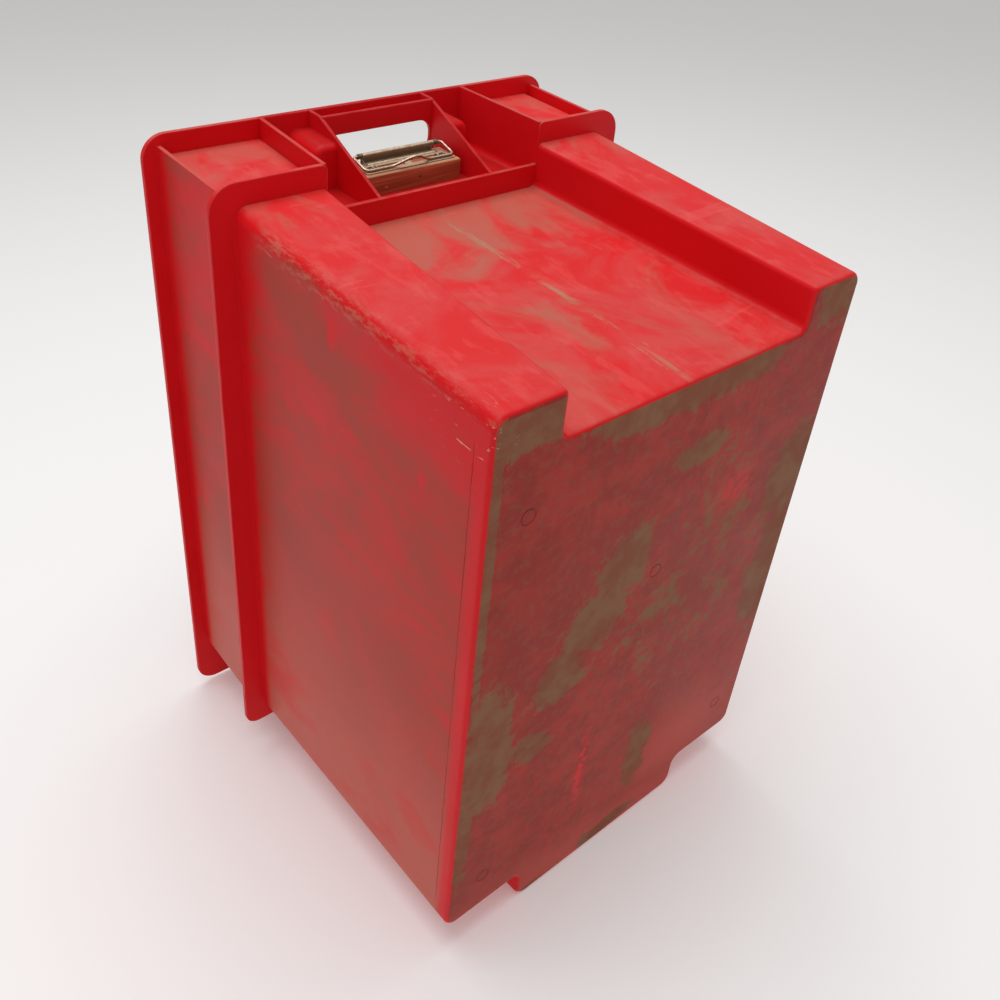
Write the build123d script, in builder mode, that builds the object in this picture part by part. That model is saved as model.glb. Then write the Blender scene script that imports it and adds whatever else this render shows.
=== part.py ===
"""Stack-and-nest transport container with a document clip, standing on one end.

+Z runs along the container's length, +X across its width, and its mouth opens
towards +Y. The origin is under the middle of its bounding box. Depth is measured
from the rim plane down to the base panel, towards -Y. Millimetres.
"""
from build123d import *
import math
import os

# ---------------------------------------------------------------- container
LENGTH = 600.0            # rim, along Z
WIDTH = 400.0             # rim, along X
HEIGHT = 400.0            # rim plane to base panel, along -Y
RIM_Y = HEIGHT / 2
WALL = 3.5                # nominal wall of the moulding
BASE_WALL = 4.0
FLANGE = 4.0              # thickness of the rim flange and of the lower band
BAND_DEPTH = 107.0        # rim plane to the near face of the lower band
STEP_DEPTH = BAND_DEPTH + FLANGE

# Drafted walls, given at the rim plane and at the base panel.
SIDE = (182.5, 176.3)             # half width of the body
BOSS_TOP = (585.5, 570.5)         # outer face of the two corner bosses
CHANNEL_FLOOR = (545.0, 535.0)    # floor of the channel between the bosses
CHANNEL_HALF = (99.0, 120.0)      # half width of that channel
TAIL_WALL = (47.5, 63.0)          # end wall at the other end
TONGUE_TIP = (12.0, 27.0)         # outer face of the tongue on that end
TONGUE_HALF = (119.5, 98.5)       # half width of the tongue

# The walls between the two flanges stand out a little further.
MOUTH_SIDE = 188.0
MOUTH_BOSS = 583.0
MOUTH_CENTRE = 548.0
MOUTH_TAIL = 50.0

CORNER_R = 11.0           # long corners of the body
LIP_R = 4.5               # edges along the channel
ROOT_R = 6.0              # inside corners of the channel
TONGUE_R = 12.0
TONGUE_ROOT_R = 9.0
BASE_EDGE_R = 4.0         # edge all round the base panel
RIM_CORNER_R = 20.0
BAND_CORNER_R = 22.0
BAND_ROOT_R = 1.0

BAND_TAIL = 38.0          # lower edge of the band across the tail end
BAND_TONGUE = 3.0         # and round the tongue
BAND_TONGUE_HALF = 125.0
TAIL_CORNER_R = 14.0
LEDGE_TOP = 562.5         # top edge of the band across the channel
POCKET_LIP_TOP = 591.0    # low wall along the outside of each corner pocket
POCKET_LIP_FOOT = 540.0

SEAM_DEPTH = 384.0        # fine groove along each long side, near the base panel
SEAM_LOW = 88.0
SEAM_HIGH = 546.0
SEAM_WIDE = 0.6
SEAM_DEEP = 0.3

OVERLAP = 1.0             # how far joined walls run into each other
RIB = 3.0
GUSSET = 2.6
GUSSET_X = 56.0           # middle of each gusset beside the grip
GRIP_DEPTH = 20.0         # rim plane to the grip plate
GRIP_PLATE = 3.2
GRIP_HOLE_HALF = 54.0
GRIP_HOLE_LOW = 553.0
GRIP_HOLE_TOP = 583.0
GRIP_HOLE_R = 13.0
RECESS_HALF = 75.0        # recess behind the grip, wider than the gussets
RECESS_CORNER_R = 10.0
CHAMBER_DEPTH = 45.0      # rim plane to the floor of the recess's two side chambers
CHAMBER_FLOOR_R = 5.0
TAIL_GUSSET_X = 154.0
TAIL_GUSSET_LOW = 6.0
TAIL_SLOT_HALF = 54.0
TAIL_SLOT_NEAR = 26.0     # depth of the hand slot's two long sides
TAIL_SLOT_FAR = 58.0
MARK_R = 6.5              # ejector marks on the base panel
MARK_GROOVE = 0.2
MARK_LINE = 1.0
MARK_SPOTS = ((-142.0, 485.0), (0.0, 363.0), (144.0, 111.0), (-142.0, 106.0))

# ---------------------------------------------------------------- clip
BLOCK_HALF = 48.0         # wooden block, half length along X
BLOCK_FRONT = RIM_Y - 76.0
BLOCK_BACK = RIM_Y - 46.0
BLOCK_HIGH = 18.0
BLOCK_EDGE = 1.0
BLOCK_TOP = MOUTH_CENTRE + BLOCK_HIGH

PLATE_T = 1.0
PLATE_HALF = 45.0
PLATE_FRONT = RIM_Y - 73.5
PLATE_BACK = RIM_Y - 49.04
PLATE_CORNER_R = 2.5
PLATE_TOP = BLOCK_TOP + PLATE_T
WINDOW_X = 17.0           # windows in the plate, either side of the middle
WINDOW_LONG = 27.0
WINDOW_WIDE = 7.5
WINDOW_R = 1.5
TAB_T = 0.8               # tab turned up at the outer end of each window
TAB_WIDE = 6.0
TAB_HIGH = 1.6
BEAD_Y = RIM_Y - 56.5
BEAD_HALF = 34.0
BEAD_R = 1.6
BARREL_HALF = 36.0        # hinge barrel, half length
BARREL_MOUTH = 4.0        # reach of the wedge that opens the barrel's underside
HINGE_Y = RIM_Y - 51.3
HINGE_Z = 573.4
WIRE_R = 1.2
WIRE_END_GAP = 0.4
RUNNING_GAP = 0.06        # wire to barrel, on the radius
BAIL_HALF = 44.3
BAIL_FRONT_Y = RIM_Y - 70.6
BAIL_LIFT = 0.3           # front bar above the plate
BAIL_FRONT_Z = PLATE_TOP + WIRE_R + BAIL_LIFT
BUMP_HALF = 17.5          # finger bump in the middle of the front bar
BUMP_Y = RIM_Y - 78.0
BUMP_Z = 577.5
BACK_BEND_R = 2.5
FRONT_BEND_R = 4.0
BUMP_BEND_R = 9.0
SPRING_WIRE_R = 0.4
SPRING_R = 1.9            # coil radius to the middle of its wire
SPRING_PITCH = 0.95
SPRING_TURNS = 4
SPRING_GAP = 0.4          # barrel end to the first turn
FOOT_REACH = 7.0          # hinge axis to the tip of the spring's foot

# ---------------------------------------------------------------- screws
THREAD_BITE = 0.1         # how far each screw cuts into its pilot hole, on the radius
SCREW_POINT = 2.5
SCREW_X = 36.3            # clip screws
SCREW_Y = RIM_Y - 65.0
CLIP_SCREW_R = 1.5
CLIP_SCREW_LENGTH = 11.0
CLIP_HEAD_R = 3.0
CLIP_HEAD_FLAT = 1.2
CLIP_HEAD_EDGE = 0.8
CLIP_HEAD_HIGH = 1.7
SLOT_WIDE = 0.9
SLOT_DEEP = 0.9
SLOT_TURN = 35.0
BLOCK_SCREW_X = 22.0      # screws that hold the block, from inside the container
BLOCK_SCREW_Y = RIM_Y - 61.0
BLOCK_SCREW_R = 2.0
BLOCK_SCREW_PLAY = 0.25
BLOCK_SCREW_BITE = 13.0
BLOCK_HEAD_R = 4.0
BLOCK_HEAD_FLAT = 2.4
BLOCK_HEAD_EDGE = 0.9
BLOCK_HEAD_HIGH = 2.6
CROSS_LONG = 4.2
CROSS_WIDE = 0.9
CROSS_DEEP = 1.6
WASHER_R = 6.0
WASHER_T = 1.0

os.makedirs("parts", exist_ok=True)


def y_at(depth):
    """Y of a depth below the rim plane."""
    return RIM_Y - depth


def depth_plane(depth):
    """Plane parallel to the rim: its x is +X, its y is +Z, its normal points to the base."""
    return Plane(origin=(0, y_at(depth), 0), x_dir=(1, 0, 0), z_dir=(0, -1, 0))


def drafted(ends, depth):
    """A drafted dimension at a depth below the rim plane."""
    at_rim, at_base = ends
    return at_rim + (at_base - at_rim) * depth / HEIGHT


def body_outline(depth, inset, mouth=False):
    """Corners (x, z) of the body at a depth, each wall moved in by inset, with their radii."""
    side = MOUTH_SIDE if mouth else drafted(SIDE, depth)
    boss = MOUTH_BOSS if mouth else drafted(BOSS_TOP, depth)
    centre = MOUTH_CENTRE if mouth else drafted(CHANNEL_FLOOR, depth)
    tail = MOUTH_TAIL if mouth else drafted(TAIL_WALL, depth)
    channel = drafted(CHANNEL_HALF, depth)
    tongue = drafted(TONGUE_HALF, depth)
    tip = drafted(TONGUE_TIP, depth)
    right = [
        (tongue - inset, tip + inset, TONGUE_R - inset),
        (tongue - inset, tail + inset, TONGUE_ROOT_R + inset),
        (side - inset, tail + inset, CORNER_R - inset),
        (side - inset, boss - inset, CORNER_R - inset),
        (channel + inset, boss - inset, LIP_R - inset / 2),
        (channel + inset, centre - inset, ROOT_R),
    ]
    left = [(-x, z, r) for x, z, r in reversed(right)]
    return right + left


def outline_face(corners):
    """Closed face through the corners, each rounded by its own radius."""
    with BuildSketch() as outline:
        with BuildLine():
            Polyline(*[(x, z) for x, z, _ in corners], close=True)
        make_face()
        for x, z, radius in corners:
            fillet(outline.vertices().sort_by_distance((x, z, 0))[0], radius)
    return outline.sketch


def mirrored_x(half):
    """The same distance either side of the middle."""
    return (-half, half)


def mirrored_spots(half, y):
    """Two points the same distance either side of the middle."""
    return [(-half, y), (half, y)]


def recess_block(half, roof, depth, inset):
    """Block from the rim plane down, rounded along its roof's sides and round its floor."""
    foot = MOUTH_CENTRE - 2 * WALL - RECESS_CORNER_R
    with BuildPart() as block:
        with BuildSketch(depth_plane(0.0)):
            with Locations((0, (foot + roof) / 2)):
                RectangleRounded(2 * half, roof - foot, RECESS_CORNER_R - inset)
        extrude(amount=depth)
        fillet(block.faces().sort_by(Axis.Y)[0].edges(), CHAMBER_FLOOR_R - inset)
    return block.part


# ================================================================ container_body
band_right = [
    (BAND_TONGUE_HALF, BAND_TONGUE, TONGUE_R),
    (BAND_TONGUE_HALF, BAND_TAIL, TONGUE_ROOT_R),
    (WIDTH / 2, BAND_TAIL, TAIL_CORNER_R),
    (WIDTH / 2, LENGTH, BAND_CORNER_R),
    (drafted(CHANNEL_HALF, BAND_DEPTH), LENGTH, LIP_R),
    (drafted(CHANNEL_HALF, BAND_DEPTH), LEDGE_TOP, BAND_ROOT_R),
]
band_face = outline_face(band_right + [(-x, z, r) for x, z, r in reversed(band_right)])
wall_foot = MOUTH_CENTRE - 2 * OVERLAP

with BuildPart() as container_body:
    # Main body below the band, rounded round the base panel.
    for depth in (BAND_DEPTH, HEIGHT):
        with BuildSketch(depth_plane(depth)):
            add(outline_face(body_outline(depth, 0.0)))
    loft(ruled=True)
    base_panel = container_body.faces().sort_by(Axis.Y)[0]
    fillet(base_panel.edges(), BASE_EDGE_R)

    # Mouth section between the two flanges.
    for depth in (0.0, BAND_DEPTH + OVERLAP):
        with BuildSketch(depth_plane(depth)):
            add(outline_face(body_outline(depth, 0.0, mouth=True)))
    loft(ruled=True)

    # Rim flange and lower band.
    with BuildSketch(depth_plane(0.0)):
        with Locations((0, LENGTH / 2)):
            RectangleRounded(WIDTH, LENGTH, RIM_CORNER_R)
    extrude(amount=FLANGE)
    with BuildSketch(depth_plane(BAND_DEPTH)):
        add(band_face)
    extrude(amount=FLANGE)

    # Ribs that carry the boss walls up to the edge of the rim flange.
    for sign in (-1, 1):
        for depth in (FLANGE / 2, BAND_DEPTH + FLANGE / 2):
            rib_x = sign * (drafted(CHANNEL_HALF, depth) + RIB / 2)
            with BuildSketch(depth_plane(depth)):
                with Locations((rib_x, (LENGTH + MOUTH_CENTRE) / 2)):
                    Rectangle(RIB, LENGTH - MOUTH_CENTRE)
        loft(ruled=True)

    # Low walls along the outside of the corner pockets.
    for x in mirrored_x(MOUTH_SIDE - RIB / 2):
        with BuildSketch(depth_plane(0.0)):
            with Locations((x, (POCKET_LIP_TOP + POCKET_LIP_FOOT) / 2)):
                Rectangle(RIB, POCKET_LIP_TOP - POCKET_LIP_FOOT)
        extrude(amount=BAND_DEPTH + OVERLAP)

    # Walls of the recess behind the grip, cleared again between the gussets.
    add(recess_block(RECESS_HALF + GUSSET, GRIP_HOLE_TOP + RIB, CHAMBER_DEPTH + GUSSET, 0.0))
    with BuildSketch(depth_plane(GRIP_DEPTH)):
        with Locations((0, (MOUTH_CENTRE + LENGTH) / 2)):
            Rectangle(2 * GUSSET_X, LENGTH - MOUTH_CENTRE)
    extrude(amount=CHAMBER_DEPTH + GUSSET - GRIP_DEPTH + OVERLAP, mode=Mode.SUBTRACT)

    # Gussets beside the grip, sloping from the rim down to the ledge.
    for x in mirrored_x(GUSSET_X):
        with BuildSketch(Plane.YZ.offset(x)):
            with BuildLine():
                Polyline(
                    (y_at(OVERLAP), LENGTH),
                    (y_at(GRIP_DEPTH), LENGTH),
                    (y_at(STEP_DEPTH - OVERLAP), LEDGE_TOP),
                    (y_at(STEP_DEPTH - OVERLAP), wall_foot),
                    (y_at(OVERLAP), wall_foot),
                    close=True,
                )
            make_face()
        extrude(amount=GUSSET / 2, both=True)

    # Grip plate, parallel to the rim flange.
    with BuildSketch(depth_plane(GRIP_DEPTH)):
        with Locations((0, (wall_foot + LENGTH) / 2)):
            Rectangle(2 * GUSSET_X, LENGTH - wall_foot)
    extrude(amount=GRIP_PLATE)

    # Web that joins the grip plate to the rim flange.
    with BuildSketch(depth_plane(OVERLAP)):
        with Locations((0, GRIP_HOLE_TOP + RIB / 2)):
            Rectangle(2 * GUSSET_X, RIB)
    extrude(amount=GRIP_DEPTH)

    # Gussets under the rim flange at the tail end.
    for x in mirrored_x(TAIL_GUSSET_X):
        with BuildSketch(Plane.YZ.offset(x)):
            with BuildLine():
                Polyline(
                    (y_at(OVERLAP), TAIL_GUSSET_LOW),
                    (y_at(GRIP_DEPTH), TAIL_GUSSET_LOW),
                    (y_at(BAND_DEPTH + OVERLAP), BAND_TAIL + OVERLAP),
                    (y_at(BAND_DEPTH + OVERLAP), MOUTH_TAIL + OVERLAP),
                    (y_at(OVERLAP), MOUTH_TAIL + OVERLAP),
                    close=True,
                )
            make_face()
        extrude(amount=GUSSET / 2, both=True)

    # Cavity of the main body and of the mouth.
    for depth in (BAND_DEPTH, HEIGHT - BASE_WALL):
        with BuildSketch(depth_plane(depth)):
            add(outline_face(body_outline(depth, WALL)))
    loft(ruled=True, mode=Mode.SUBTRACT)
    for depth in (0.0, BAND_DEPTH):
        with BuildSketch(depth_plane(depth)):
            add(outline_face(body_outline(depth, WALL, mouth=True)))
    loft(ruled=True, mode=Mode.SUBTRACT)

    # Recess behind the grip with its two side chambers, and the hand hole through the grip plate.
    with BuildPart(mode=Mode.PRIVATE) as recess:
        add(recess_block(RECESS_HALF, GRIP_HOLE_TOP, CHAMBER_DEPTH, GUSSET))
        with BuildSketch(depth_plane(GRIP_DEPTH)):
            with Locations((0, LENGTH / 2)):
                Rectangle(2 * GUSSET_X + GUSSET, LENGTH)
        extrude(amount=CHAMBER_DEPTH, mode=Mode.SUBTRACT)
    add(recess.part, mode=Mode.SUBTRACT)
    with BuildSketch(depth_plane(GRIP_DEPTH - OVERLAP)):
        with Locations((0, (GRIP_HOLE_LOW + GRIP_HOLE_TOP) / 2)):
            RectangleRounded(2 * GRIP_HOLE_HALF, GRIP_HOLE_TOP - GRIP_HOLE_LOW, GRIP_HOLE_R)
    extrude(amount=GRIP_PLATE + 2 * OVERLAP, mode=Mode.SUBTRACT)

    # Hand slot through the tongue's end wall.
    with BuildSketch(Plane.XY):
        with Locations((0, y_at((TAIL_SLOT_NEAR + TAIL_SLOT_FAR) / 2))):
            RectangleRounded(2 * TAIL_SLOT_HALF, TAIL_SLOT_FAR - TAIL_SLOT_NEAR, GRIP_HOLE_R)
    extrude(amount=MOUTH_TAIL / 2, mode=Mode.SUBTRACT)

    # Shallow ring marks moulded into the base panel.
    with BuildSketch(depth_plane(HEIGHT)):
        with Locations(*MARK_SPOTS):
            Circle(MARK_R)
            Circle(MARK_R - MARK_LINE, mode=Mode.SUBTRACT)
    extrude(amount=-MARK_GROOVE, mode=Mode.SUBTRACT)

    # Fine moulding groove along each long side.
    with BuildSketch(depth_plane(SEAM_DEPTH)):
        with Locations(*mirrored_spots(drafted(SIDE, SEAM_DEPTH), (SEAM_LOW + SEAM_HIGH) / 2)):
            Rectangle(2 * SEAM_DEEP, SEAM_HIGH - SEAM_LOW)
    extrude(amount=SEAM_WIDE, mode=Mode.SUBTRACT)

    # Clearance holes for the two screws that hold the block.
    with BuildSketch(Plane.XY.offset(MOUTH_CENTRE + OVERLAP)):
        with Locations(*mirrored_spots(BLOCK_SCREW_X, BLOCK_SCREW_Y)):
            Circle(BLOCK_SCREW_R + BLOCK_SCREW_PLAY)
    extrude(amount=-2 * WALL, mode=Mode.SUBTRACT)

container_body.part.label = "container_body"
export_step(container_body.part, "parts/container_body.step")


# ================================================================ wood_block
with BuildPart() as wood_block:
    with BuildSketch(Plane.XY.offset(MOUTH_CENTRE)):
        with Locations((0, (BLOCK_FRONT + BLOCK_BACK) / 2)):
            Rectangle(2 * BLOCK_HALF, BLOCK_BACK - BLOCK_FRONT)
    extrude(amount=BLOCK_HIGH)
    chamfer(wood_block.edges().group_by(Axis.Z)[-1], BLOCK_EDGE)
    # Pilot holes: two from above for the clip, two from below for the block's own screws.
    with BuildSketch(Plane.XY.offset(BLOCK_TOP)):
        with Locations(*mirrored_spots(SCREW_X, SCREW_Y)):
            Circle(CLIP_SCREW_R - THREAD_BITE)
    extrude(amount=-CLIP_SCREW_LENGTH, mode=Mode.SUBTRACT)
    with BuildSketch(Plane.XY.offset(MOUTH_CENTRE)):
        with Locations(*mirrored_spots(BLOCK_SCREW_X, BLOCK_SCREW_Y)):
            Circle(BLOCK_SCREW_R - THREAD_BITE)
    extrude(amount=BLOCK_SCREW_BITE, mode=Mode.SUBTRACT)

wood_block.part.label = "wood_block"
export_step(wood_block.part, "parts/wood_block.step")


# ================================================================ clip_base_plate
with BuildPart() as clip_base_plate:
    # Flat plate with two windows and two fixing holes.
    with BuildSketch(Plane.XY.offset(BLOCK_TOP)):
        with Locations((0, (PLATE_FRONT + PLATE_BACK) / 2)):
            RectangleRounded(2 * PLATE_HALF, PLATE_BACK - PLATE_FRONT, PLATE_CORNER_R)
        with Locations(*mirrored_spots(WINDOW_X, SCREW_Y)):
            RectangleRounded(WINDOW_LONG, WINDOW_WIDE, WINDOW_R, mode=Mode.SUBTRACT)
        with Locations(*mirrored_spots(SCREW_X, SCREW_Y)):
            Circle(CLIP_SCREW_R + THREAD_BITE, mode=Mode.SUBTRACT)
    extrude(amount=PLATE_T)

    # Tab turned up at the outer end of each window.
    with BuildSketch(Plane.XY.offset(BLOCK_TOP)):
        with Locations(*mirrored_spots(WINDOW_X + (WINDOW_LONG + TAB_T) / 2, SCREW_Y)):
            Rectangle(TAB_T, TAB_WIDE)
    extrude(amount=PLATE_T + TAB_HIGH)

    # Upright that carries the hinge barrel.
    barrel_outer = WIRE_R + RUNNING_GAP + PLATE_T
    with BuildSketch(Plane.XY.offset(BLOCK_TOP)):
        with Locations((0, HINGE_Y + barrel_outer - PLATE_T / 2)):
            Rectangle(2 * BARREL_HALF, PLATE_T)
    extrude(amount=HINGE_Z - BLOCK_TOP)

    # Barrel, open along its underside where the sheet's edge ends.
    with BuildSketch(Plane.YZ.offset(-BARREL_HALF)):
        with Locations((HINGE_Y, HINGE_Z)):
            Circle(barrel_outer)
            Circle(WIRE_R + RUNNING_GAP, mode=Mode.SUBTRACT)
        with BuildLine():
            Polyline(
                (HINGE_Y, HINGE_Z),
                (HINGE_Y - BARREL_MOUTH, HINGE_Z - BARREL_MOUTH),
                (HINGE_Y + WIRE_R, HINGE_Z - BARREL_MOUTH),
                close=True,
            )
        make_face(mode=Mode.SUBTRACT)
    extrude(amount=2 * BARREL_HALF)

    # Bead pressed into the plate in front of the barrel.
    with BuildSketch(Plane.YZ.offset(-BEAD_HALF)):
        with Locations((BEAD_Y, PLATE_TOP - PLATE_T / 2)):
            Circle(BEAD_R)
        with Locations((BEAD_Y, PLATE_TOP - PLATE_T / 2 - BEAD_R)):
            Rectangle(2 * BEAD_R, 2 * BEAD_R, mode=Mode.SUBTRACT)
    extrude(amount=2 * BEAD_HALF)

clip_base_plate.part.label = "clip_base_plate"
export_step(clip_base_plate.part, "parts/clip_base_plate.step")


# ================================================================ clip_wire_bail
with BuildPart() as clip_wire_bail:
    # One length of wire: its two ends meet inside the barrel.
    route = [
        (-WIRE_END_GAP, HINGE_Y, HINGE_Z),
        (-BAIL_HALF, HINGE_Y, HINGE_Z),
        (-BAIL_HALF, BAIL_FRONT_Y, BAIL_FRONT_Z),
        (-BUMP_HALF, BAIL_FRONT_Y, BAIL_FRONT_Z),
        (0.0, BUMP_Y, BUMP_Z),
        (BUMP_HALF, BAIL_FRONT_Y, BAIL_FRONT_Z),
        (BAIL_HALF, BAIL_FRONT_Y, BAIL_FRONT_Z),
        (BAIL_HALF, HINGE_Y, HINGE_Z),
        (WIRE_END_GAP, HINGE_Y, HINGE_Z),
    ]
    half_bends = [BACK_BEND_R, FRONT_BEND_R, BUMP_BEND_R]
    with BuildLine() as wire_route:
        FilletPolyline(*route, radius=half_bends + [BUMP_BEND_R] + half_bends[::-1])
    with BuildSketch(Plane(origin=route[0], z_dir=(-1, 0, 0))):
        Circle(WIRE_R)
    sweep(path=wire_route.wires()[0])

clip_wire_bail.part.label = "clip_wire_bail"
export_step(clip_wire_bail.part, "parts/clip_wire_bail.step")


# ================================================================ clip_torsion_springs
with BuildPart() as clip_torsion_springs:
    # A torsion coil round the wire at each end of the barrel, its foot pressing on the plate.
    foot_drop = HINGE_Z - PLATE_TOP - SPRING_WIRE_R
    foot_length = math.sqrt(foot_drop ** 2 + FOOT_REACH ** 2 - SPRING_R ** 2)
    slope = math.atan2(foot_drop, FOOT_REACH) - math.atan2(SPRING_R, foot_length)
    foot_lead = foot_length * SPRING_PITCH / (2 * math.pi * SPRING_R)
    for side in (-1, 1):
        coil_x = side * (BARREL_HALF + SPRING_GAP + SPRING_WIRE_R)
        coil_start = (coil_x, HINGE_Y + SPRING_R * math.sin(slope), HINGE_Z - SPRING_R * math.cos(slope))
        foot_end = (coil_x - side * foot_lead, HINGE_Y - FOOT_REACH, PLATE_TOP + SPRING_WIRE_R)
        coil_plane = Plane(
            origin=(coil_x, HINGE_Y, HINGE_Z),
            x_dir=(0, math.sin(slope), -math.cos(slope)),
            z_dir=(side, 0, 0),
        )
        coil = Helix(
            pitch=SPRING_PITCH,
            height=SPRING_PITCH * SPRING_TURNS,
            radius=SPRING_R,
            lefthand=side < 0,
            mode=Mode.PRIVATE,
        )
        with BuildLine() as spring_line:
            Line(foot_end, coil_start)
            add(coil_plane.from_local_coords(coil))
        spring_path = spring_line.wires()[0]
        with BuildSketch(Plane(origin=foot_end, z_dir=spring_path % 0)):
            Circle(SPRING_WIRE_R)
        sweep(path=spring_path, is_frenet=True)

clip_torsion_springs.part.label = "clip_torsion_springs"
export_step(clip_torsion_springs.part, "parts/clip_torsion_springs.step")


# ================================================================ clip_screws
with BuildPart() as clip_screws:
    clip_head_top = PLATE_TOP + CLIP_HEAD_HIGH
    clip_screw_tip = BLOCK_TOP - CLIP_SCREW_LENGTH
    for x in mirrored_x(SCREW_X):
        with BuildSketch(Plane.XZ.offset(-SCREW_Y)):
            with BuildLine():
                Polyline(
                    (x, clip_head_top),
                    (x + CLIP_HEAD_FLAT, clip_head_top),
                    (x + CLIP_HEAD_R, PLATE_TOP + CLIP_HEAD_EDGE),
                    (x + CLIP_HEAD_R, PLATE_TOP),
                    (x + CLIP_SCREW_R, PLATE_TOP),
                    (x + CLIP_SCREW_R, clip_screw_tip + SCREW_POINT),
                    (x, clip_screw_tip),
                    close=True,
                )
            make_face()
        revolve(axis=Axis((x, SCREW_Y, 0), (0, 0, 1)))
        with BuildSketch(Plane.XY.offset(clip_head_top)):
            with Locations((x, SCREW_Y)):
                Rectangle(2 * CLIP_HEAD_R + OVERLAP, SLOT_WIDE, rotation=SLOT_TURN)
        extrude(amount=-SLOT_DEEP, mode=Mode.SUBTRACT)

clip_screws.part.label = "clip_screws"
export_step(clip_screws.part, "parts/clip_screws.step")


# ================================================================ block_washers
inner_face = MOUTH_CENTRE - WALL
with BuildPart() as block_washers:
    with BuildSketch(Plane.XY.offset(inner_face)):
        with Locations(*mirrored_spots(BLOCK_SCREW_X, BLOCK_SCREW_Y)):
            Circle(WASHER_R)
            Circle(BLOCK_SCREW_R + BLOCK_SCREW_PLAY, mode=Mode.SUBTRACT)
    extrude(amount=-WASHER_T)

block_washers.part.label = "block_washers"
export_step(block_washers.part, "parts/block_washers.step")


# ================================================================ block_screws
with BuildPart() as block_screws:
    under_head = inner_face - WASHER_T
    block_head_low = under_head - BLOCK_HEAD_HIGH
    block_screw_tip = MOUTH_CENTRE + BLOCK_SCREW_BITE
    for x in mirrored_x(BLOCK_SCREW_X):
        with BuildSketch(Plane.XZ.offset(-BLOCK_SCREW_Y)):
            with BuildLine():
                Polyline(
                    (x, block_head_low),
                    (x + BLOCK_HEAD_FLAT, block_head_low),
                    (x + BLOCK_HEAD_R, under_head - BLOCK_HEAD_EDGE),
                    (x + BLOCK_HEAD_R, under_head),
                    (x + BLOCK_SCREW_R, under_head),
                    (x + BLOCK_SCREW_R, block_screw_tip - SCREW_POINT),
                    (x, block_screw_tip),
                    close=True,
                )
            make_face()
        revolve(axis=Axis((x, BLOCK_SCREW_Y, 0), (0, 0, 1)))
        with BuildSketch(Plane.XY.offset(block_head_low)):
            with Locations((x, BLOCK_SCREW_Y)):
                Rectangle(CROSS_LONG, CROSS_WIDE)
                Rectangle(CROSS_WIDE, CROSS_LONG)
        extrude(amount=CROSS_DEEP, mode=Mode.SUBTRACT)

block_screws.part.label = "block_screws"
export_step(block_screws.part, "parts/block_screws.step")
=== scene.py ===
import math

import bpy
from mathutils import Matrix, Vector


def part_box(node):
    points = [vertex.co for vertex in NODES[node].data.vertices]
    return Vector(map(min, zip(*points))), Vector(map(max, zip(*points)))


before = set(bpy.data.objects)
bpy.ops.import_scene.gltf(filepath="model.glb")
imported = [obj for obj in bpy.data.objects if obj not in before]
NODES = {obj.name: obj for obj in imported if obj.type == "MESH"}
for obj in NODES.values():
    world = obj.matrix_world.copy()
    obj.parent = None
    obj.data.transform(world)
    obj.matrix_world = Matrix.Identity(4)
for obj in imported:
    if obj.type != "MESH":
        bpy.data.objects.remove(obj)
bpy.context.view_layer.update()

# ---------------------------------------------------------------- places on the object, metres
BODY_LOW, BODY_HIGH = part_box("container_body")
RIM_Y = BODY_HIGH.y
BASE_Y = BODY_LOW.y
LEDGE_Y = RIM_Y - 0.110                  # the band across the channel's inner end
BAND_FOOT = (RIM_Y - 0.111, 0.003)       # y, z of the lower band's edge, which stands on the floor
TONGUE_TIP = (BASE_Y + 0.004, 0.0269)    # y, z of the tongue's tip, which stands on the floor
BLOCK_LOW, BLOCK_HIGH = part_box("wood_block")
PLATE_LOW, PLATE_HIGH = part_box("clip_base_plate")

# ---------------------------------------------------------------- camera
CAMERA_AT = Vector((-0.4848, -0.5379, 0.8944))
CAMERA_AZIMUTH = -44.418
CAMERA_ELEVATION = 32.885
CAMERA_ROLL = 6.745
CAMERA_LENS = 37.13
CAMERA_SHIFT = (-0.0308, -0.1195)

# ---------------------------------------------------------------- floor and light
FLOOR_REACH = 12.0
FLOOR_GREY = (0.90, 0.90, 0.90, 1)
FLOOR_GLOW = 0.16
SURROUNDINGS = (1.0, 0.985, 0.965, 1)
SURROUNDINGS_STRENGTH = 0.37


def add_camera():
    """The camera: azimuth is counted from -Y towards +X, roll turns the picture clockwise."""
    azimuth = math.radians(CAMERA_AZIMUTH)
    elevation = math.radians(CAMERA_ELEVATION)
    roll = math.radians(CAMERA_ROLL)
    level = math.cos(elevation)
    back = Vector((math.sin(azimuth) * level, -math.cos(azimuth) * level, math.sin(elevation)))
    right = (-back).cross(Vector((0, 0, 1))).normalized()
    up = back.cross(right)
    turned_right = right * math.cos(roll) + up * math.sin(roll)
    turned_up = up * math.cos(roll) - right * math.sin(roll)
    data = bpy.data.cameras.new("camera")
    data.lens = CAMERA_LENS
    data.sensor_width = 36.0
    data.shift_x, data.shift_y = CAMERA_SHIFT
    data.clip_start = 0.01
    camera = bpy.data.objects.new("camera", data)
    turn = Matrix((turned_right, turned_up, back)).transposed().to_4x4()
    camera.matrix_world = Matrix.Translation(CAMERA_AT) @ turn
    bpy.context.scene.collection.objects.link(camera)
    bpy.context.scene.camera = camera


def add_area_light(name, place, aim, size, power):
    """A soft square light at a place, turned towards an aim."""
    data = bpy.data.lights.new(name, "AREA")
    data.size = size
    data.energy = power
    light = bpy.data.objects.new(name, data)
    direction = Vector(aim) - Vector(place)
    light.location = place
    light.rotation_euler = direction.to_track_quat("-Z", "Y").to_euler()
    bpy.context.scene.collection.objects.link(light)


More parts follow.
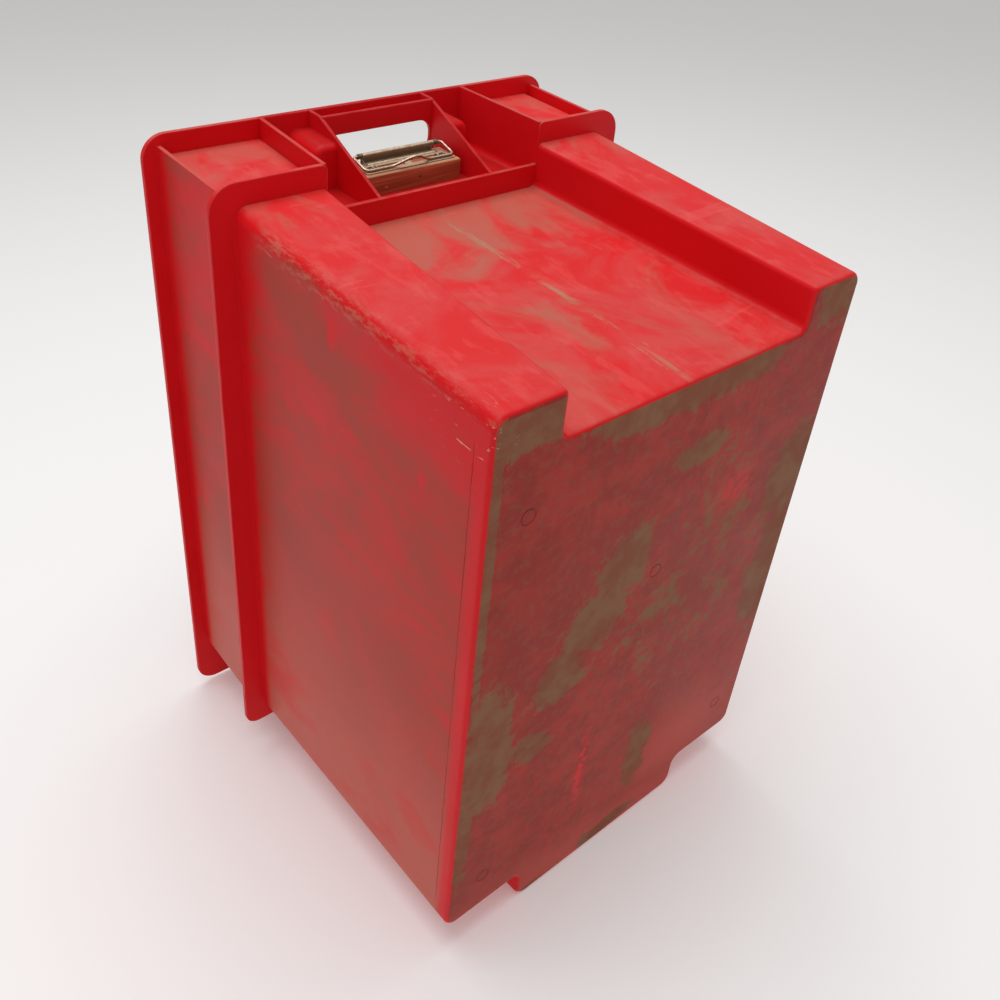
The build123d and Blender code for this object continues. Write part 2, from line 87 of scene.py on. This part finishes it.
def add_stage():
    """Pale floor under the lower band and the tongue's tip, pale surroundings, soft lights."""
    (foot_y, foot_z), (tip_y, tip_z) = BAND_FOOT, TONGUE_TIP
    slope = (tip_z - foot_z) / (foot_y - tip_y)
    outline = ((-FLOOR_REACH, -FLOOR_REACH), (FLOOR_REACH, -FLOOR_REACH),
               (FLOOR_REACH, FLOOR_REACH), (-FLOOR_REACH, FLOOR_REACH))
    corners = [(x, y, foot_z + (foot_y - y) * slope) for x, y in outline]
    mesh = bpy.data.meshes.new("floor")
    mesh.from_pydata(corners, [], [(0, 1, 2, 3)])
    floor = bpy.data.objects.new("floor", mesh)
    bpy.context.scene.collection.objects.link(floor)
    material = bpy.data.materials.new("floor_paper")
    material.use_nodes = True
    shader = material.node_tree.nodes["Principled BSDF"]
    shader.inputs["Base Color"].default_value = FLOOR_GREY
    shader.inputs["Roughness"].default_value = 0.9
    shader.inputs["Specular IOR Level"].default_value = 0.1
    shader.inputs["Emission Color"].default_value = (1, 1, 1, 1)
    shader.inputs["Emission Strength"].default_value = FLOOR_GLOW
    mesh.materials.append(material)

    world = bpy.data.worlds.new("studio")
    world.use_nodes = True
    background = world.node_tree.nodes["Background"]
    background.inputs["Color"].default_value = SURROUNDINGS
    background.inputs["Strength"].default_value = SURROUNDINGS_STRENGTH
    bpy.context.scene.world = world
    add_area_light("top_light", (-0.1, 0.3, 2.6), (0, 0, 0.4), 2.2, 42)
    add_area_light("side_light", (-2.4, -0.3, 1.0), (0, 0, 0.3), 1.6, 1.2)
    bpy.context.scene.view_settings.view_transform = "Standard"


# ---------------------------------------------------------------- material building
class Finish:
    """A material built from small steps; each step returns the socket that holds its result."""

    def __init__(self, name, roughness=0.5, metallic=0.0):
        self.material = bpy.data.materials.new(name)
        self.material.use_nodes = True
        self.tree = self.material.node_tree
        self.shader = self.tree.nodes["Principled BSDF"]
        self.shader.inputs["Roughness"].default_value = roughness
        self.shader.inputs["Metallic"].default_value = metallic
        coordinates = self.tree.nodes.new("ShaderNodeTexCoord")
        self.place = coordinates.outputs["Object"]
        self.normal = coordinates.outputs["Normal"]

    def put(self, socket, value):
        """Link a socket, or set a plain number, vector or colour."""
        if isinstance(value, bpy.types.NodeSocket):
            self.tree.links.new(value, socket)
        else:
            socket.default_value = value

    def math(self, operation, first, second=0.0, clamp=False):
        node = self.tree.nodes.new("ShaderNodeMath")
        node.operation = operation
        node.use_clamp = clamp
        self.put(node.inputs[0], first)
        self.put(node.inputs[1], second)
        return node.outputs[0]

    def times(self, *values):
        """The product of all values."""
        result = values[0]
        for value in values[1:]:
            result = self.math("MULTIPLY", result, value)
        return result

    def most(self, *values):
        """The largest of all values."""
        result = values[0]
        for value in values[1:]:
            result = self.math("MAXIMUM", result, value)
        return result

    def vector(self, operation, first, second=(0, 0, 0)):
        node = self.tree.nodes.new("ShaderNodeVectorMath")
        node.operation = operation
        self.put(node.inputs[0], first)
        self.put(node.inputs[1], second)
        return node.outputs["Value" if operation in ("LENGTH", "DOT_PRODUCT") else "Vector"]

    def split(self, vector):
        node = self.tree.nodes.new("ShaderNodeSeparateXYZ")
        self.put(node.inputs[0], vector)
        return node.outputs[0], node.outputs[1], node.outputs[2]

    def rise(self, value, low, high):
        """0 below low, 1 above high, smooth between; low above high turns it round."""
        node = self.tree.nodes.new("ShaderNodeMapRange")
        node.interpolation_type = "SMOOTHSTEP"
        self.put(node.inputs["Value"], value)
        self.put(node.inputs["From Min"], low)
        self.put(node.inputs["From Max"], high)
        return node.outputs["Result"]

    def between(self, value, low, high, soft):
        """1 from low to high, with soft edges outside them."""
        return self.times(self.rise(value, low - soft, low), self.rise(value, high + soft, high))

    def noise(self, scale, detail=3.0, stretch=(1, 1, 1), roughness=0.55, distortion=0.0,
              turn=0.0, colour=False):
        """Noise; stretch below 1 draws it out along that axis, after a turn about X in degrees."""
        mapping = self.tree.nodes.new("ShaderNodeMapping")
        mapping.inputs["Scale"].default_value = stretch
        mapping.inputs["Rotation"].default_value = (math.radians(turn), 0, 0)
        self.put(mapping.inputs["Vector"], self.place)
        node = self.tree.nodes.new("ShaderNodeTexNoise")
        node.inputs["Scale"].default_value = scale
        node.inputs["Detail"].default_value = detail
        node.inputs["Roughness"].default_value = roughness
        node.inputs["Distortion"].default_value = distortion
        self.put(node.inputs["Vector"], mapping.outputs[0])
        return node.outputs["Color" if colour else "Fac"]

    def wobbled(self, amount, scale):
        """The place, pushed about by noise, so that soft shapes get ragged outlines."""
        push = self.vector("SUBTRACT", self.noise(scale, 4.0, colour=True), (0.5, 0.5, 0.5))
        push = self.vector("MULTIPLY", push, (amount, amount, amount))
        return self.vector("ADD", self.place, push)

    def blob(self, place, centre, radii, soft=0.6):
        """1 near a centre, fading to 0 at its radii."""
        offset = self.vector("SUBTRACT", place, centre)
        reach = self.vector("DIVIDE", offset, radii)
        return self.rise(self.vector("LENGTH", reach), 1.0, 1.0 - soft)

    def mix(self, factor, first, second):
        """The first colour at factor 0, the second at factor 1."""
        node = self.tree.nodes.new("ShaderNodeMix")
        node.data_type = "RGBA"
        self.put(node.inputs["Factor"], factor)
        self.put(node.inputs[6], first)
        self.put(node.inputs[7], second)
        return node.outputs[2]

    def ragged(self, field, *noises):
        """A soft field broken up by (noise, weight) pairs into a mask with a ragged outline."""
        for noise, weight in noises:
            field = self.math("ADD", field, self.times(self.math("SUBTRACT", noise, 0.5), weight))
        return self.rise(field, 0.28, 0.52)

    def edge(self, radius):
        """1 along edges that stand out, and the normal rounded over all edges."""
        occlusion = self.tree.nodes.new("ShaderNodeAmbientOcclusion")
        occlusion.inside = True
        occlusion.only_local = True
        occlusion.samples = 4
        occlusion.inputs["Distance"].default_value = radius
        bevel = self.tree.nodes.new("ShaderNodeBevel")
        bevel.samples = 4
        bevel.inputs["Radius"].default_value = radius
        return self.rise(occlusion.outputs["AO"], 0.92, 0.62), bevel.outputs[0]

    def finish(self, colour, roughness=None, bumps=(), rounded=None, metallic=None):
        """Join colour, roughness and a chain of (height, strength, distance) bumps to the shader."""
        self.put(self.shader.inputs["Base Color"], colour)
        if roughness is not None:
            self.put(self.shader.inputs["Roughness"], roughness)
        if metallic is not None:
            self.put(self.shader.inputs["Metallic"], metallic)
        normal = rounded
        for height, strength, distance in bumps:
            node = self.tree.nodes.new("ShaderNodeBump")
            node.inputs["Strength"].default_value = strength
            node.inputs["Distance"].default_value = distance
            self.put(node.inputs["Height"], height)
            if normal is not None:
                self.put(node.inputs["Normal"], normal)
            normal = node.outputs[0]
        if normal is not None:
            self.put(self.shader.inputs["Normal"], normal)
        return self.material


def colour(red, green, blue):
    """A colour given in 0..255 display values, as the linear values that shaders use."""
    linear = [(v / 255 / 12.92) if v <= 10 else ((v / 255 + 0.055) / 1.055) ** 2.4
              for v in (red, green, blue)]
    return (*linear, 1.0)


# ---------------------------------------------------------------- container plastic
PLASTIC_SPECULAR = 0.13      # low, so that the pale surroundings don't wash the red out
PLASTIC_EDGE = 0.0012        # reach of the wear along edges that stand out
STEEL_EDGE = 0.0004
WIPE_ANGLE = -38.0           # direction of the smears on the long sides, degrees
RING_INNER, RING_OUTER, RING_SOFT = 0.0053, 0.0063, 0.0010

CLEAN_RED = colour(230, 25, 35)
DEEP_RED = colour(212, 19, 25)
# Pale pink for the upward faces: dust mixed with a painted sheen.
BOSS_DUST_AND_SHEEN = colour(208, 84, 80)
TOP_FILM = colour(184, 104, 88)
SIDE_FILM = colour(176, 58, 45)
SIDE_GREY = colour(160, 68, 52)
LOW_PINK = colour(204, 114, 97)
BASE_RED = colour(170, 46, 32)
BASE_DARK = colour(142, 40, 27)
BASE_PINK = colour(190, 72, 58)
OLIVE = colour(128, 104, 75)
OLIVE_BROWN = colour(126, 84, 58)
SCUFF = colour(176, 130, 106)
WORN_EDGE = colour(232, 92, 90)
NICK = colour(226, 176, 160)
RING_SHADE = colour(84, 26, 20)
RUBBED = colour(230, 108, 100)
GRIP_DARK_RED = colour(160, 28, 26)

# Olive dirt on the base panel: centre x, z and reach x, z in metres.
BASE_DIRT = (
    (-0.152, 0.265, 0.046, 0.120), (-0.168, 0.170, 0.018, 0.110), (-0.060, 0.346, 0.052, 0.060),
    (-0.036, 0.392, 0.044, 0.058), (-0.090, 0.304, 0.046, 0.048), (0.033, 0.128, 0.026, 0.080),
    (0.160, 0.388, 0.060, 0.090), (0.162, 0.280, 0.052, 0.130), (0.020, 0.466, 0.050, 0.024),
    (0.008, 0.040, 0.060, 0.022), (-0.075, 0.026, 0.050, 0.014), (-0.110, 0.240, 0.034, 0.030),
)

# Moulded ring marks on the base panel: centre x, z.
RING_SPOTS = ((-0.142, 0.485), (0.0, 0.363), (0.144, 0.111), (-0.142, 0.106))


def olive_field(finish, x, z, place):
    """How near the base panel's dirtiest places are, 0 to 1."""
    blobs = [finish.blob(place, (cx, BASE_Y, cz), (rx, 0.05, rz), 1.0)
             for cx, cz, rx, rz in BASE_DIRT]
    left_strip = finish.times(finish.between(x, -0.172, -0.169, 0.005), finish.rise(z, 0.20, 0.50))
    _, _, shifted_z = finish.split(finish.wobbled(0.030, 24.0))
    channel_edge = finish.times(finish.rise(shifted_z, 0.500, 0.527), finish.rise(z, 0.5335, 0.5325),
                                finish.rise(x, 0.130, 0.060), finish.rise(x, -0.125, -0.060))
    left_boss = finish.times(finish.rise(shifted_z, 0.520, 0.556), finish.rise(x, -0.100, -0.112),
                             finish.rise(z, 0.568, 0.564))
    right_boss = finish.times(finish.rise(z, 0.515, 0.560), finish.rise(x, 0.120, 0.140), 0.8)
    return finish.most(*blobs, left_strip, channel_edge, left_boss, right_boss)


def side_film(finish, x, y, z):
    """Where the long sides carry a dull film: thick low down, wiped away in smears near the top."""
    main_side = finish.times(finish.rise(y, RIM_Y - 0.114, RIM_Y - 0.130),
                             finish.rise(y, BASE_Y + 0.007, BASE_Y + 0.018))
    mouth_side = finish.between(y, RIM_Y - 0.096, RIM_Y - 0.022, 0.014)
    smears = finish.noise(15.0, 6.0, stretch=(1.0, 0.5, 1.2), roughness=0.60, distortion=0.5,
                          turn=WIPE_ANGLE)
    broad = finish.noise(4.0, 4.0, roughness=0.55)
    patchy = finish.noise(34.0, 5.0, stretch=(1.0, 0.7, 1.0), roughness=0.62, turn=WIPE_ANGLE)
    field = finish.math("ADD", finish.times(smears, 0.8), finish.times(broad, 0.6))
    field = finish.math("ADD", finish.math("SUBTRACT", field, 0.36), finish.times(patchy, 0.32))
    field = finish.math("ADD", field, finish.times(finish.rise(z, 0.58, 0.18), 0.30))
    wiped = finish.most(
        finish.blob(finish.wobbled(0.014, 50.0), (-0.18, -0.036, 0.542), (0.03, 0.010, 0.022), 1.0),
        finish.blob(finish.wobbled(0.014, 50.0), (-0.18, -0.139, 0.490), (0.03, 0.009, 0.012), 1.0),
    )
    field = finish.math("SUBTRACT", field, finish.times(wiped, 0.25))
    return finish.times(finish.rise(field, 0.40, 0.76), finish.most(main_side, mouth_side))


def container_plastic():
    """Scuffed red moulding: dull dirt films on its open faces, painted sheen on its upward faces, clean
    in its recesses.
    """
    finish = Finish("container_plastic", roughness=0.45)
    finish.shader.inputs["Specular IOR Level"].default_value = PLASTIC_SPECULAR
    x, y, z = finish.split(finish.place)
    normal_x, normal_y, normal_z = finish.split(finish.normal)
    facing_up = finish.rise(normal_z, 0.60, 0.97)
    facing_base = finish.rise(normal_y, -0.80, -0.985)
    facing_side = finish.rise(finish.times(normal_x, x), 0.125, 0.173)
    on_base = finish.times(facing_base, finish.rise(y, BASE_Y + 0.004, BASE_Y + 0.001))
    ragged_place = finish.wobbled(0.036, 16.0)

    coarse = finish.noise(5.0, 6.0, roughness=0.60, distortion=0.5)
    cloud = finish.noise(13.0, 6.0, roughness=0.62, distortion=0.8)
    mottle = finish.noise(42.0, 5.0, roughness=0.65)
    speckle = finish.noise(120.0, 4.0, roughness=0.65)
    grain = finish.noise(900.0, 2.0)

    # Clean plastic, a little deeper in patches.
    plastic = finish.mix(finish.noise(11.0, 4.0), DEEP_RED, CLEAN_RED)

    # Long sides.
    film = finish.times(facing_side, side_film(finish, x, y, z))
    dull = finish.mix(finish.rise(cloud, 0.40, 0.62), SIDE_FILM, SIDE_GREY)
    dull = finish.mix(finish.times(finish.rise(z, 0.34, 0.04), 0.85), dull, LOW_PINK)
    plastic = finish.mix(finish.times(film, 0.80), plastic, dull)

    # Upward faces: rubbed red bosses, and a channel floor with a greyer film in smears.
    beside_middle = finish.math("ABSOLUTE", x)
    in_grip = finish.times(finish.rise(y, RIM_Y - 0.112, RIM_Y - 0.106),
                           finish.rise(beside_middle, 0.106, 0.098))
    open_top = finish.times(facing_up, finish.math("SUBTRACT", 1.0, in_grip))
    # Pale pink on the open upward faces: partly dust, partly a painted sheen of the light from above.
    dust_and_sheen = finish.math("ADD", finish.times(finish.rise(cloud, 0.38, 0.62), 0.50), 0.20)
    dust_and_sheen = finish.times(open_top, dust_and_sheen)
    plastic = finish.mix(dust_and_sheen, plastic, BOSS_DUST_AND_SHEEN)
    rubs = finish.rise(finish.noise(70.0, 5.0, stretch=(1.0, 0.35, 1.0), roughness=0.68), 0.50, 0.64)
    plastic = finish.mix(finish.times(rubs, open_top, 0.22), plastic, RUBBED)
    # Upward faces inside the grip pocket are mixed towards a darker red.
    plastic = finish.mix(finish.times(in_grip, facing_up, 0.6), plastic, GRIP_DARK_RED)
    in_channel = finish.times(finish.rise(z, 0.552, 0.546), finish.rise(z, 0.520, 0.530),
                              finish.rise(y, LEDGE_Y, LEDGE_Y - 0.003))
    rear = finish.times(finish.rise(y, -0.02, 0.07), 0.16)
    patches = finish.noise(13.0, 7.0, stretch=(1.0, 0.7, 1.0), roughness=0.60, distortion=0.7)
    greyer = finish.math("ADD", patches, rear)
    greyer = finish.rise(greyer, finish.math("SUBTRACT", 0.58, finish.times(in_channel, 0.10)), 0.66)
    greyer = finish.times(greyer, open_top, finish.math("ADD", finish.times(in_channel, 0.40), 0.40))
    near_base = finish.math("ADD", finish.times(finish.rise(y, -0.19, -0.09), 0.65), 0.35)
    greyer = finish.times(greyer, near_base)
    plastic = finish.mix(greyer, plastic, TOP_FILM)

    # Base panel: a dull film all over, finely mottled, with olive dirt in ragged patches.
    base = finish.mix(finish.rise(mottle, 0.38, 0.62), BASE_DARK, BASE_RED)
    base = finish.mix(finish.times(finish.rise(coarse, 0.48, 0.62), 0.5), base, BASE_DARK)
    base = finish.mix(finish.times(finish.rise(speckle, 0.48, 0.62), 0.35), base, OLIVE_BROWN)
    pinker = finish.blob(ragged_place, (0.09, BASE_Y, 0.10), (0.13, 0.05, 0.10), 1.0)
    pinker = finish.most(pinker, finish.rise(z, 0.10, 0.03))
    base = finish.mix(pinker, base, BASE_PINK)
    streak = finish.blob(finish.wobbled(0.012, 60.0), (-0.043, BASE_Y, 0.165), (0.008, 0.05, 0.080), 0.8)
    rubbed = finish.blob(ragged_place, (0.078, BASE_Y, 0.404), (0.040, 0.05, 0.034), 1.0)
    rubbed = finish.times(finish.most(streak, rubbed), finish.rise(speckle, 0.40, 0.58))
    olive = olive_field(finish, x, z, ragged_place)
    speckled = finish.blob(ragged_place, (0.060, BASE_Y, 0.335), (0.160, 0.05, 0.220), 0.8)
    olive = finish.most(olive, finish.times(speckled, 0.36))
    olive = finish.ragged(olive, (mottle, 0.95), (speckle, 1.00), (cloud, 0.40))
    olive_tone = finish.mix(finish.rise(mottle, 0.36, 0.64), OLIVE_BROWN, OLIVE)
    base = finish.mix(finish.times(olive, 0.90), base, olive_tone)
    for ring_x, ring_z in RING_SPOTS:
        offset = finish.vector("SUBTRACT", finish.place, (ring_x, BASE_Y, ring_z))
        ring = finish.between(finish.vector("LENGTH", offset), RING_INNER, RING_OUTER, RING_SOFT)
        base = finish.mix(finish.times(ring, finish.rise(speckle, 0.25, 0.55), 0.60), base, RING_SHADE)
    base = finish.mix(finish.times(rubbed, 0.8), base, CLEAN_RED)
    plastic = finish.mix(finish.times(on_base, 0.92), plastic, base)

    # Scuffed streak along the middle of the channel's floor, made of broken fibres.
    fibres = finish.noise(160.0, 4.0, stretch=(1.0, 0.08, 1.0), roughness=0.7)
    shifted_x, _, _ = finish.split(finish.wobbled(0.012, 16.0))
    off_middle = finish.math("ABSOLUTE", finish.math("ADD", shifted_x, 0.004))
    off_middle = finish.math("SUBTRACT", off_middle, finish.times(finish.rise(mottle, 0.48, 0.66), 0.004))
    scuff = finish.times(finish.rise(off_middle, 0.0045, 0.001), finish.rise(fibres, 0.44, 0.58),
                         finish.rise(cloud, 0.40, 0.54), in_channel, facing_up)
    plastic = finish.mix(finish.times(scuff, 0.85), plastic, SCUFF)

    # Worn edges, fibrous wear along the bosses' long edges, pale nicks by one corner.
    edge, rounded = finish.edge(PLASTIC_EDGE)
    worn = finish.times(edge, finish.rise(mottle, 0.30, 0.60), 0.55)
    plastic = finish.mix(worn, plastic, WORN_EDGE)
    boss_edge = finish.times(finish.rise(beside_middle, 0.168, 0.178), finish.rise(z, 0.556, 0.568),
                             finish.rise(y, RIM_Y - 0.13, RIM_Y - 0.16))
    frayed = finish.rise(finish.noise(240.0, 5.0, stretch=(1.0, 0.3, 1.0), roughness=0.7), 0.46, 0.62)
    plastic = finish.mix(finish.times(boss_edge, frayed, 0.60), plastic, LOW_PINK)
    corner = finish.blob(finish.place, (-0.178, BASE_Y + 0.012, 0.548), (0.03, 0.055, 0.040), 1.0)
    scratches = finish.noise(220.0, 2.0, stretch=(1.0, 0.22, 1.0), distortion=1.4, turn=-30.0)
    scratches = finish.rise(scratches, 0.66, 0.70)
    plastic = finish.mix(finish.times(corner, scratches, 0.9), plastic, NICK)

    hairlines = finish.rise(finish.noise(70.0, 2.0, stretch=(0.12, 1.0, 1.0), distortion=0.8), 0.70, 0.73)
    plastic = finish.mix(finish.times(hairlines, facing_up, 0.30), plastic, WORN_EDGE)
    roughness = finish.math("ADD", finish.times(cloud, 0.20), 0.32)
    roughness = finish.math("ADD", roughness, finish.times(on_base, olive, 0.20), clamp=True)
    bumps = (
        (finish.noise(14.0, 2.0), 0.12, 0.004),
        (grain, 0.08, 0.0003),
        (hairlines, 0.15, -0.0003),
    )
    return finish.finish(plastic, roughness, bumps, rounded)


# ---------------------------------------------------------------- clip and block
def block_wood():
    """Dark red-brown wood, grain along X, worn pale along its top edges."""
    finish = Finish("block_wood", roughness=0.6)
    _, y, z = finish.split(finish.place)
    fibres = finish.noise(260.0, 6.0, stretch=(0.05, 1.0, 1.0), roughness=0.7, distortion=0.4)
    rings = finish.noise(90.0, 3.0, stretch=(0.08, 1.0, 1.0), distortion=1.2)
    wood = finish.mix(finish.rise(rings, 0.38, 0.62), colour(158, 74, 42), colour(204, 110, 68))
    wood = finish.mix(finish.times(finish.rise(fibres, 0.50, 0.72), 0.65), wood, colour(84, 36, 22))
    # Painted shade: the block darkens towards its foot, where it stands on the pocket floor.
    low = finish.rise(z, BLOCK_LOW.z + 0.008, BLOCK_LOW.z)
    wood = finish.mix(finish.times(low, 0.45), wood, colour(84, 22, 14))
    edge, rounded = finish.edge(PLASTIC_EDGE)
    lip = finish.times(finish.rise(z, BLOCK_HIGH.z - 0.0018, BLOCK_HIGH.z - 0.0008),
                       finish.rise(y, PLATE_LOW.y + 0.0015, PLATE_LOW.y))
    worn = finish.times(finish.most(finish.times(edge, 0.5), lip), finish.rise(fibres, 0.30, 0.60))
    wood = finish.mix(finish.times(worn, 0.85), wood, colour(196, 158, 124))
    knot = finish.blob(finish.place, (0.006, BLOCK_LOW.y, BLOCK_LOW.z + 0.009),
                       (0.0012, 0.004, 0.0012), 0.5)
    wood = finish.mix(knot, wood, colour(20, 10, 8))
    pale = finish.blob(finish.wobbled(0.002, 300.0), (-0.028, BLOCK_LOW.y, BLOCK_LOW.z + 0.006),
                       (0.0022, 0.004, 0.0012), 0.6)
    wood = finish.mix(finish.times(pale, 0.8), wood, colour(206, 130, 96))
    return finish.finish(wood, 0.62, ((fibres, 0.6, 0.0004),), rounded)


def old_steel(name, bright, dull, rust_share, roughness=0.42, metallic=0.5):
    """Plated steel gone dull, with rust spots, and a painted shade of dark brown on faces that don't face
    up.
    """
    finish = Finish(name, roughness=roughness, metallic=metallic)
    _, _, normal_z = finish.split(finish.normal)
    patina = finish.noise(420.0, 4.0, roughness=0.6)
    metal = finish.mix(finish.rise(patina, 0.30, 0.70), bright, dull)
    # Painted shade: faces turned away from up are darkened towards dark brown.
    painted_shade = finish.rise(normal_z, 0.75, 0.20)
    metal = finish.mix(finish.times(painted_shade, 0.8), metal, colour(98, 66, 48))
    rust = finish.rise(finish.noise(330.0, 5.0, distortion=0.8), 0.70 - rust_share, 0.76 - rust_share)
    metal = finish.mix(finish.times(rust, 0.7), metal, colour(124, 62, 40))
    edge, rounded = finish.edge(STEEL_EDGE)
    metal = finish.mix(finish.times(edge, 0.5), metal, bright)
    shine = finish.math("SUBTRACT", metallic, finish.times(rust, metallic))
    rough = finish.math("ADD", finish.times(patina, 0.15), roughness - 0.06)
    rough = finish.math("ADD", rough, finish.times(rust, 0.2), clamp=True)
    return finish.finish(metal, rough, ((patina, 0.12, 0.0001),), rounded, shine)


def dress(node, material):
    """Give a CAD node one material."""
    mesh = NODES[node].data
    mesh.materials.clear()
    mesh.materials.append(material)


add_camera()
add_stage()

dress("container_body", container_plastic())
dress("wood_block", block_wood())
dress("clip_base_plate", old_steel("clip_plate_steel", colour(224, 202, 174),
                                   colour(186, 158, 128), 0.05))
dress("clip_wire_bail", old_steel("clip_wire_steel", colour(232, 206, 182),
                                  colour(196, 160, 134), 0.04, roughness=0.34, metallic=0.7))
dress("clip_torsion_springs", old_steel("spring_steel", colour(150, 138, 118),
                                        colour(96, 84, 68), 0.05))
screw_steel = old_steel("screw_steel", colour(120, 104, 82), colour(70, 58, 44), 0.08)
for screw_node in ("clip_screws", "block_screws", "block_washers"):
    dress(screw_node, screw_steel)
